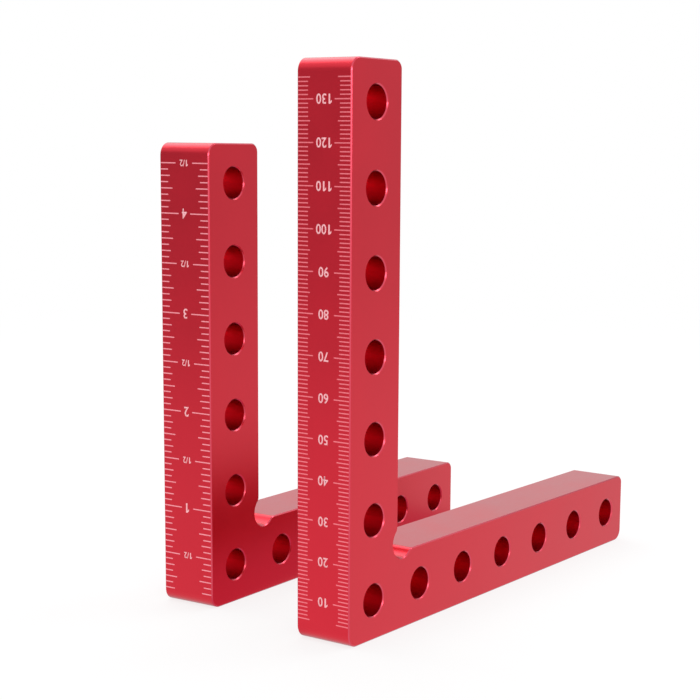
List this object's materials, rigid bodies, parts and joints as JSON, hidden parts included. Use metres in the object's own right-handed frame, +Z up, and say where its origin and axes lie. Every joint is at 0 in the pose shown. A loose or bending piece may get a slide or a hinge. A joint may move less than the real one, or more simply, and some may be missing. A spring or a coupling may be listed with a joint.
{
  "type": "corner clamp",
  "caption": "Right-angle positioning squares in a large and a small size: drilled, anodised aluminium Ls with marked scales that clamp to a box or frame and hold its corners square.",
  "frame": {"origin": "centre of the large square's underside", "axes": "+Z up along the standing arms, +X along the large square's lying arm away from its corner, +Y through its thickness towards the small square"},
  "size_m": [0.14, 0.0698, 0.14],
  "materials": {
    "red_anodised": "satin red anodised aluminium",
    "scale_marks": "laser-marked lines and numerals, matt pinkish white"
  },
  "bodies": {
    "root": {"large_square": "red_anodised", "small_square": "red_anodised"}
  },
  "joints": []
}
